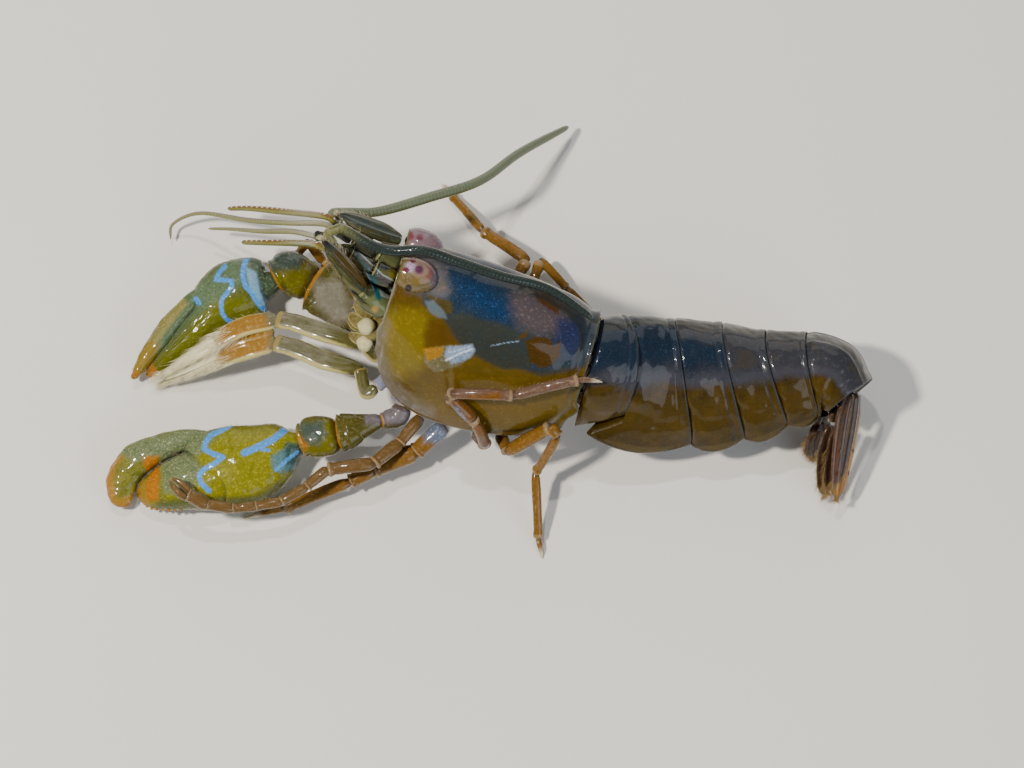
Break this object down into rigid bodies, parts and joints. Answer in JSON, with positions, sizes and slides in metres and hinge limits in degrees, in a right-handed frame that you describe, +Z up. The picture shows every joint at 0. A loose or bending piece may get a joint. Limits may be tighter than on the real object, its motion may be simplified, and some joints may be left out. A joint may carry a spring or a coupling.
{
  "type": "snapping shrimp",
  "caption": "Snapping shrimp lying on its right side with both large claws laid out ahead and the tail fan bent under.",
  "frame": {"origin": "the middle of the small flat on which the third tail ring rests", "axes": "-X from the origin to the head and claws, -Y to the side its left flank faces, +Z up from the floor"},
  "size_m": [0.0659, 0.0401, 0.0209],
  "materials": {
    "carapace": "wet shell, deep navy over the back and olive-yellow on the front of the flank",
    "tail_shell": "wet shell, dark navy above and dark olive-brown on the side plates",
    "tail_fan": "wet thin blades, dark brown with an orange hairy fringe",
    "claw_shell": "wet olive-green shell with pale blue bands and orange finger tips",
    "leg_shell": "wet translucent orange-brown shell",
    "mouth_feet": "wet translucent olive-yellow shell with a pale brush at the end",
    "feeler": "wet ringed whips and scales, olive-grey",
    "underside": "wet translucent grey-lilac plates",
    "eye": "dark purple, wet"
  },
  "bodies": {
    "root": {"antenna_base_left": "feeler", "antenna_base_right": "feeler", "antenna_scale_left": "feeler", "antenna_scale_right": "feeler", "antenna_whip_left": "feeler", "antenna_whip_right": "feeler", "antennule_inner_whip_left": "feeler", "antennule_inner_whip_right": "feeler", "antennule_left": "feeler", "antennule_outer_whip_left": "feeler", "antennule_outer_whip_right": "feeler", "antennule_right": "feeler", "carapace": "carapace", "chest_underside": "underside", "claw_base_left": "claw_shell", "claw_base_right": "claw_shell", "claw_carpus_left": "claw_shell", "claw_carpus_right": "claw_shell", "claw_finger_left": "claw_shell", "claw_finger_right": "claw_shell", "claw_merus_left": "claw_shell", "claw_merus_right": "claw_shell", "claw_palm_left": "claw_shell", "claw_palm_right": "claw_shell", "eye_left": "eye", "eye_right": "eye", "leg_2_lower_left": "leg_shell", "leg_2_lower_right": "leg_shell", "leg_2_upper_left": "leg_shell", "leg_2_upper_right": "leg_shell", "leg_3_lower_left": "leg_shell", "leg_3_lower_right": "leg_shell", "leg_3_upper_left": "leg_shell", "leg_3_upper_right": "leg_shell", "leg_4_lower_left": "leg_shell", "leg_4_lower_right": "leg_shell", "leg_4_upper_left": "leg_shell", "leg_4_upper_right": "leg_shell", "leg_5_lower_left": "leg_shell", "leg_5_lower_right": "leg_shell", "leg_5_upper_left": "leg_shell", "leg_5_upper_right": "leg_shell", "maxilliped_left": "mouth_feet", "maxilliped_right": "mouth_feet", "mouthparts": "mouth_feet", "tail_ring_1": "tail_shell", "tail_ring_2": "tail_shell", "tail_ring_3": "tail_shell", "tail_ring_4": "tail_shell", "tail_ring_5": "tail_shell", "tail_ring_6": "tail_shell", "telson": "tail_fan", "uropod_base_left": "tail_fan", "uropod_base_right": "tail_fan", "uropod_inner_left": "tail_fan", "uropod_inner_right": "tail_fan", "uropod_outer_left": "tail_fan", "uropod_outer_right": "tail_fan"}
  },
  "joints": []
}
